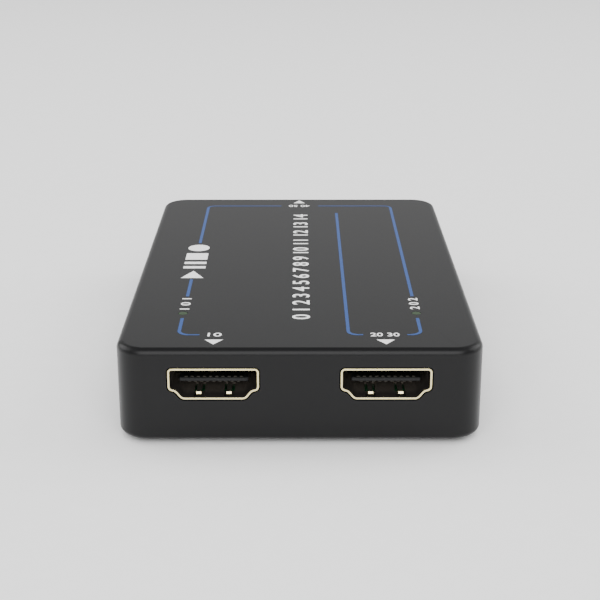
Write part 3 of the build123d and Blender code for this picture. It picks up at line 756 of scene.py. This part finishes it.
# Status lights
# Two small surface lights under the guides: a pale, clear resin lens on a white base, dark while
# the box is off.
clear_resin = blank("clear_lens_resin")
place = add(clear_resin, "ShaderNodeTexCoord", {}).outputs["Object"]
cloud = add(
    clear_resin, "ShaderNodeTexNoise", {"Vector": place, "Scale": 1 / (0.5 * mm), "Detail": 1.0}
)
tint = add(
    clear_resin,
    "ShaderNodeMix",
    {0: cloud.outputs["Fac"], 6: ink("#dfe3cc"), 7: ink("#eef0dd")},
    data_type="RGBA",
)
lens = add(
    clear_resin,
    "ShaderNodeBsdfPrincipled",
    {"Base Color": tint.outputs[2], "Roughness": 0.18, "IOR": 1.5, "Transmission Weight": 0.4},
)
add(clear_resin, "ShaderNodeOutputMaterial", {"Surface": lens.outputs["BSDF"]})
for node in ("left_status_light", "right_status_light"):
    dress(finished(node), "light_package", clear_resin)

# Thermal pad and heat sink
# A soft grey blue silicone pad on a woven glass carrier, and a sawn piece of finned aluminium
# extrusion, anodised black, that the pad holds by its own tack.
pad_silicone = blank("filled_silicone_pad")
place = add(pad_silicone, "ShaderNodeTexCoord", {}).outputs["Object"]
weave = add(
    pad_silicone,
    "ShaderNodeTexBrick",
    {
        "Vector": place,
        "Scale": 1.0,
        "Mortar Size": 0.05 * mm,
        "Brick Width": 0.5 * mm,
        "Row Height": 0.5 * mm,
        "Color1": ink("#8fa0b0"),
        "Color2": ink("#8a9bab"),
        "Mortar": ink("#78899a"),
    },
)
soft = add(
    pad_silicone,
    "ShaderNodeBsdfPrincipled",
    {"Base Color": weave.outputs["Color"], "Roughness": 0.8, "IOR": 1.41},
)
add(pad_silicone, "ShaderNodeOutputMaterial", {"Surface": soft.outputs["BSDF"]})
dress(frame["nodes"]["thermal_pad"], "pad_silicone", pad_silicone)

black_anodised = blank("black_anodised_aluminium")
place = add(black_anodised, "ShaderNodeTexCoord", {}).outputs["Object"]
drawn = add(black_anodised, "ShaderNodeMapping", {"Vector": place, "Scale": (14, 1, 14)})
lines = add(
    black_anodised,
    "ShaderNodeTexNoise",
    {"Vector": drawn.outputs["Vector"], "Scale": 1 / (2 * mm), "Detail": 3.0},
)
tint = add(
    black_anodised,
    "ShaderNodeMix",
    {0: lines.outputs["Fac"], 6: ink("#232326"), 7: ink("#343438")},
    data_type="RGBA",
)
bump = add(
    black_anodised,
    "ShaderNodeBump",
    {"Height": lines.outputs["Fac"], "Strength": 0.2, "Distance": 0.01 * mm},
)
anodised = add(
    black_anodised,
    "ShaderNodeBsdfPrincipled",
    {
        "Base Color": tint.outputs[2],
        "Metallic": 0.7,
        "Roughness": 0.42,
        "Normal": bump.outputs["Normal"],
    },
)
add(black_anodised, "ShaderNodeOutputMaterial", {"Surface": anodised.outputs["BSDF"]})
dress(finished("heat_sink", edge=0.05 * mm), "sink_aluminium", black_anodised)

# Video sockets
# A shell of gold flashed copper alloy, pressed from strip, with two spring tongues in its floor; a
# black glass filled insulator with its tongue; and nineteen contacts of plated bronze.
gold_flash = blank("gold_flashed_copper_alloy")
place = add(gold_flash, "ShaderNodeTexCoord", {}).outputs["Object"]
rolled = add(gold_flash, "ShaderNodeMapping", {"Vector": place, "Scale": (6, 1, 6)})
streak = add(
    gold_flash,
    "ShaderNodeTexNoise",
    {"Vector": rolled.outputs["Vector"], "Scale": 1 / (1.2 * mm), "Detail": 3.0},
)
dull = add(
    gold_flash,
    "ShaderNodeMapRange",
    {"Value": streak.outputs["Fac"], "To Min": 0.18, "To Max": 0.32},
)
tint = add(
    gold_flash,
    "ShaderNodeMix",
    {0: streak.outputs["Fac"], 6: ink("#f4e3a4"), 7: ink("#faeec0")},
    data_type="RGBA",
)
gold = add(
    gold_flash,
    "ShaderNodeBsdfPrincipled",
    {"Base Color": tint.outputs[2], "Metallic": 1.0, "Roughness": dull.outputs["Result"]},
)
add(gold_flash, "ShaderNodeOutputMaterial", {"Surface": gold.outputs["BSDF"]})

# Inside the drawn shell the gold is painted dark, as painted shade. The painted shade is darkest in
# the first few millimetres of the mouth and pales deeper in, as painted bounce light.
shaded_flash = blank("gold_flash_in_painted_shade")
mouth_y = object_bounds()[0][1]
darkest_depth = 1.5 * mm
palest_depth = 7 * mm
place = add(shaded_flash, "ShaderNodeTexCoord", {}).outputs["Object"]
cloud = add(
    shaded_flash, "ShaderNodeTexNoise", {"Vector": place, "Scale": 1 / (0.8 * mm), "Detail": 3.0}
)
depth = add(shaded_flash, "ShaderNodeSeparateXYZ", {"Vector": place})
# The painted shade by depth: darkest at the mouth, paler deeper in as painted bounce light.
shade_by_depth = add(
    shaded_flash,
    "ShaderNodeMapRange",
    {
        "Value": depth.outputs["Y"],
        "From Min": mouth_y + darkest_depth,
        "From Max": mouth_y + palest_depth,
    },
    interpolation_type="SMOOTHSTEP",
)
painted_shade = add(
    shaded_flash,
    "ShaderNodeMix",
    {0: cloud.outputs["Fac"], 6: ink("#282522"), 7: ink("#312d2a")},
    data_type="RGBA",
)
tint = add(
    shaded_flash,
    "ShaderNodeMix",
    {0: shade_by_depth.outputs["Result"], 6: painted_shade.outputs[2], 7: ink("#7c746a")},
    data_type="RGBA",
)
darkened = add(
    shaded_flash,
    "ShaderNodeBsdfPrincipled",
    {"Base Color": tint.outputs[2], "Metallic": 0.5, "Roughness": 0.62},
)
add(shaded_flash, "ShaderNodeOutputMaterial", {"Surface": darkened.outputs["BSDF"]})

# Glass filled plastic: dull, with faint streaks where the fibres lie along the flow.
glass_filled = blank("black_glass_filled_plastic")
place = add(glass_filled, "ShaderNodeTexCoord", {}).outputs["Object"]
fibres = add(glass_filled, "ShaderNodeMapping", {"Vector": place, "Scale": (1, 5, 5)})
flow = add(
    glass_filled,
    "ShaderNodeTexNoise",
    {"Vector": fibres.outputs["Vector"], "Scale": 1 / (0.4 * mm), "Detail": 3.0},
)
tint = add(
    glass_filled,
    "ShaderNodeMix",
    {0: flow.outputs["Fac"], 6: ink("#0b0b0c"), 7: ink("#131314")},
    data_type="RGBA",
)
filled = add(
    glass_filled,
    "ShaderNodeBsdfPrincipled",
    {"Base Color": tint.outputs[2], "Roughness": 0.6, "IOR": 1.6, "Specular IOR Level": 0.27},
)
add(glass_filled, "ShaderNodeOutputMaterial", {"Surface": filled.outputs["BSDF"]})

# Contacts: bronze strip plated with palladium and nickel, with fine wiping marks along their
# length. Their colour is painted dark grey, as painted shade from the shell round them.
shaded_contact_alloy = blank("palladium_nickel_in_painted_shade")
place = add(shaded_contact_alloy, "ShaderNodeTexCoord", {}).outputs["Object"]
wipe = add(shaded_contact_alloy, "ShaderNodeMapping", {"Vector": place, "Scale": (10, 1, 10)})
marks = add(
    shaded_contact_alloy,
    "ShaderNodeTexNoise",
    {"Vector": wipe.outputs["Vector"], "Scale": 1 / (0.7 * mm), "Detail": 2.0},
)
dull = add(
    shaded_contact_alloy,
    "ShaderNodeMapRange",
    {"Value": marks.outputs["Fac"], "To Min": 0.36, "To Max": 0.5},
)
alloy = add(
    shaded_contact_alloy,
    "ShaderNodeBsdfPrincipled",
    {"Base Color": ink("#3c3a36"), "Metallic": 1.0, "Roughness": dull.outputs["Result"]},
)
add(shaded_contact_alloy, "ShaderNodeOutputMaterial", {"Surface": alloy.outputs["BSDF"]})

rim_depth = 0.2 * mm
lip_depth = 1.6 * mm
lip_turned = 0.3  # the lips lean, so less of their normals points to the front
slots_reach = 4.5 * mm  # how far the slots beside the springs lie from the middle, at the most


def inside_shell(node):
    """Picks faces in a shell's mouth behind its rim, not its spring lips, for the painted shade."""
    low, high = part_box(node)
    middle = (low + high) / 2

    def test(face):
        away = face.center - middle
        depth = face.center.y - low.y
        faces_front = face.normal.y < -lip_turned
        if depth < rim_depth or depth < lip_depth and faces_front:
            return False
        inward = away.x * face.normal.x + away.z * face.normal.z < 0
        in_slot = abs(away.x) < slots_reach and (abs(face.normal.x) > turned or faces_front)
        return inward or in_slot

    return test


for side in ("input", "output"):
    shell = finished(side + "_socket_shell", edge=0.08 * mm, mouth_only=True)
    dress(shell, "gold_shell", gold_flash, shaded_flash)
    # The faces inside the mouth and in the spring slots take the painted shade.
    second_finish(shell, inside_shell(side + "_socket_shell"))
    dress(finished(side + "_socket_insulator"), "socket_insulator", glass_filled)
    dress(frame["nodes"][side + "_socket_contacts"], "contact_metal", shaded_contact_alloy)

# Data socket
# At the rear, a smaller slot shaped shell of deep drawn steel, nickel plated, round a thin tongue
# with two rows of contacts.
nickel_steel = blank("nickel_plated_drawn_steel")
place = add(nickel_steel, "ShaderNodeTexCoord", {}).outputs["Object"]
drawn = add(nickel_steel, "ShaderNodeMapping", {"Vector": place, "Scale": (6, 1, 6)})
streak = add(
    nickel_steel,
    "ShaderNodeTexNoise",
    {"Vector": drawn.outputs["Vector"], "Scale": 1 / (1.0 * mm), "Detail": 3.0},
)
dull = add(
    nickel_steel,
    "ShaderNodeMapRange",
    {"Value": streak.outputs["Fac"], "To Min": 0.2, "To Max": 0.34},
)
plated = add(
    nickel_steel,
    "ShaderNodeBsdfPrincipled",
    {"Base Color": ink("#cfcdc6"), "Metallic": 1.0, "Roughness": dull.outputs["Result"]},
)
add(nickel_steel, "ShaderNodeOutputMaterial", {"Surface": plated.outputs["BSDF"]})
dress(finished("data_socket_shell", edge=0.05 * mm), "plated_steel", nickel_steel)
dress(finished("data_socket_insulator"), "socket_insulator", glass_filled)
dress(frame["nodes"]["data_socket_contacts"], "contact_metal", shaded_contact_alloy)

# Board screws and case screws
# Small cross recessed screws that cut their own thread in the plastic: cold headed steel with a
# black zinc finish, slightly satin, in which faint lighter spots show.
black_zinc = blank("black_zinc_plated_steel")
place = add(black_zinc, "ShaderNodeTexCoord", {}).outputs["Object"]
film_spots = add(
    black_zinc, "ShaderNodeTexNoise", {"Vector": place, "Scale": 1 / (0.3 * mm), "Detail": 3.0}
)
tint = add(
    black_zinc,
    "ShaderNodeMix",
    {0: film_spots.outputs["Fac"], 6: ink("#2b2b2e"), 7: ink("#4c4c50")},
    data_type="RGBA",
)
dull = add(
    black_zinc,
    "ShaderNodeMapRange",
    {"Value": film_spots.outputs["Fac"], "To Min": 0.3, "To Max": 0.46},
)
zinc = add(
    black_zinc,
    "ShaderNodeBsdfPrincipled",
    {"Base Color": tint.outputs[2], "Metallic": 0.9, "Roughness": dull.outputs["Result"]},
)
add(black_zinc, "ShaderNodeOutputMaterial", {"Surface": zinc.outputs["BSDF"]})
for node in ("board_screws", "case_screws"):
    dress(finished(node), "screw_steel", black_zinc)

# Bottom cover
# The flat plate that closes the case from below, moulded from the same black ABS with a slightly
# coarser grain, with seats for the feet and the screw heads and a bare, shallow label place.
plate_abs = blank("coarse_moulded_black_abs")
place = add(plate_abs, "ShaderNodeTexCoord", {}).outputs["Object"]
grain = add(
    plate_abs, "ShaderNodeTexNoise", {"Vector": place, "Scale": 1 / (0.3 * mm), "Detail": 3.0}
)
tint = add(
    plate_abs,
    "ShaderNodeMix",
    {0: grain.outputs["Fac"], 6: ink("#111112"), 7: ink("#161617")},
    data_type="RGBA",
)
bump = add(
    plate_abs,
    "ShaderNodeBump",
    {"Height": grain.outputs["Fac"], "Strength": 0.25, "Distance": 0.03 * mm},
)
coarse = add(
    plate_abs,
    "ShaderNodeBsdfPrincipled",
    {
        "Base Color": tint.outputs[2],
        "Roughness": 0.46,
        "Normal": bump.outputs["Normal"],
        "IOR": 1.53,
        "Specular IOR Level": 0.25,
    },
)
add(plate_abs, "ShaderNodeOutputMaterial", {"Surface": coarse.outputs["BSDF"]})
dress(finished("bottom_cover"), "plate_plastic", plate_abs)

# Feet
# Four round feet punched from black rubber sheet and glued into their seats, dull and slightly
# dusty looking.
foot_rubber = blank("black_sheet_rubber")
place = add(foot_rubber, "ShaderNodeTexCoord", {}).outputs["Object"]
crumb = add(
    foot_rubber, "ShaderNodeTexNoise", {"Vector": place, "Scale": 1 / (0.25 * mm), "Detail": 4.0}
)
tint = add(
    foot_rubber,
    "ShaderNodeMix",
    {0: crumb.outputs["Fac"], 6: ink("#1c1c1c"), 7: ink("#2a2a2a")},
    data_type="RGBA",
)
bump = add(
    foot_rubber,
    "ShaderNodeBump",
    {"Height": crumb.outputs["Fac"], "Strength": 0.4, "Distance": 0.03 * mm},
)
rubber = add(
    foot_rubber,
    "ShaderNodeBsdfPrincipled",
    {
        "Base Color": tint.outputs[2],
        "Roughness": 0.85,
        "Normal": bump.outputs["Normal"],
        "IOR": 1.52,
    },
)
add(foot_rubber, "ShaderNodeOutputMaterial", {"Surface": rubber.outputs["BSDF"]})
for corner in ("front_left", "front_right", "rear_left", "rear_right"):
    dress(finished("foot_" + corner), "foot_rubber", foot_rubber)

# Stage
# A plain pale floor, a soft box overhead that stays out of reflections, one high in front, one at
# each side, one low behind whose sheen lies on the roof, and the camera at the photograph's place.
floor_width = 6
deselect()
bpy.ops.mesh.primitive_plane_add(size=1)
floor = bpy.context.object
floor.name = "floor"
floor.scale = (floor_width, floor_width, 1)
bpy.ops.object.transform_apply(location=True, rotation=True, scale=True)
edit(floor)
bpy.ops.mesh.subdivide(number_cuts=3)
bpy.ops.object.mode_set(mode="OBJECT")
floor_paint = blank("matt_white_card")
place = add(floor_paint, "ShaderNodeTexCoord", {}).outputs["Object"]
fibre = add(
    floor_paint, "ShaderNodeTexNoise", {"Vector": place, "Scale": 1 / (4 * mm), "Detail": 3.0}
)
tint = add(
    floor_paint,
    "ShaderNodeMix",
    {0: fibre.outputs["Fac"], 6: ink("#f4f4f4"), 7: ink("#f8f8f8")},
    data_type="RGBA",
)
card = add(
    floor_paint, "ShaderNodeBsdfPrincipled", {"Base Color": tint.outputs[2], "Roughness": 0.9}
)
add(floor_paint, "ShaderNodeOutputMaterial", {"Surface": card.outputs["BSDF"]})
floor.data.materials.append(floor_paint)

case_middle = Vector((0, 0, 0))


def soft_box(name, place, width, height, power):
    """A rectangular soft box that faces the case."""
    bpy.ops.object.light_add(type="AREA", location=place)
    lamp = bpy.context.object
    lamp.name = name
    lamp.data.shape = "RECTANGLE"
    lamp.data.size = width
    lamp.data.size_y = height
    lamp.data.energy = power
    lamp.rotation_euler = (case_middle - Vector(place)).to_track_quat("-Z", "Y").to_euler()
    return lamp


overhead = soft_box("overhead_soft_box", (0, 0.15, 0.9), width=1.0, height=0.9, power=7.3)
overhead.visible_glossy = False
for side, across in (("left", -1.05), ("right", 1.05)):
    soft_box(side + "_soft_box", (across, 0.35, 0.62), width=1.1, height=0.9, power=9)
soft_box("front_soft_box", (0, -0.997, 0.738), width=1.5, height=1.08, power=21)
soft_box("rear_soft_box", (0.4, 1.58, 0.55), width=2.9, height=1.1, power=4.95)

world = bpy.data.worlds.new("pale_room")
bpy.context.scene.world = world
world.use_nodes = True
background = world.node_tree.nodes["Background"]
background.inputs["Color"].default_value = (1, 1, 1, 1)
background.inputs["Strength"].default_value = 0.3

# The camera was fitted to the outline of the case and to the two sockets in the photograph.
camera_place = (-0.269 * mm, -244.03 * mm, 94.975 * mm)
camera_tilt = math.radians(70.554)
camera_turn = -0.0015
bpy.ops.object.camera_add(location=camera_place, rotation=(camera_tilt, 0, camera_turn))
camera = bpy.context.object
camera.data.lens = 79.546
camera.data.sensor_width = 36
camera.data.clip_start = 0.01
bpy.context.scene.camera = camera
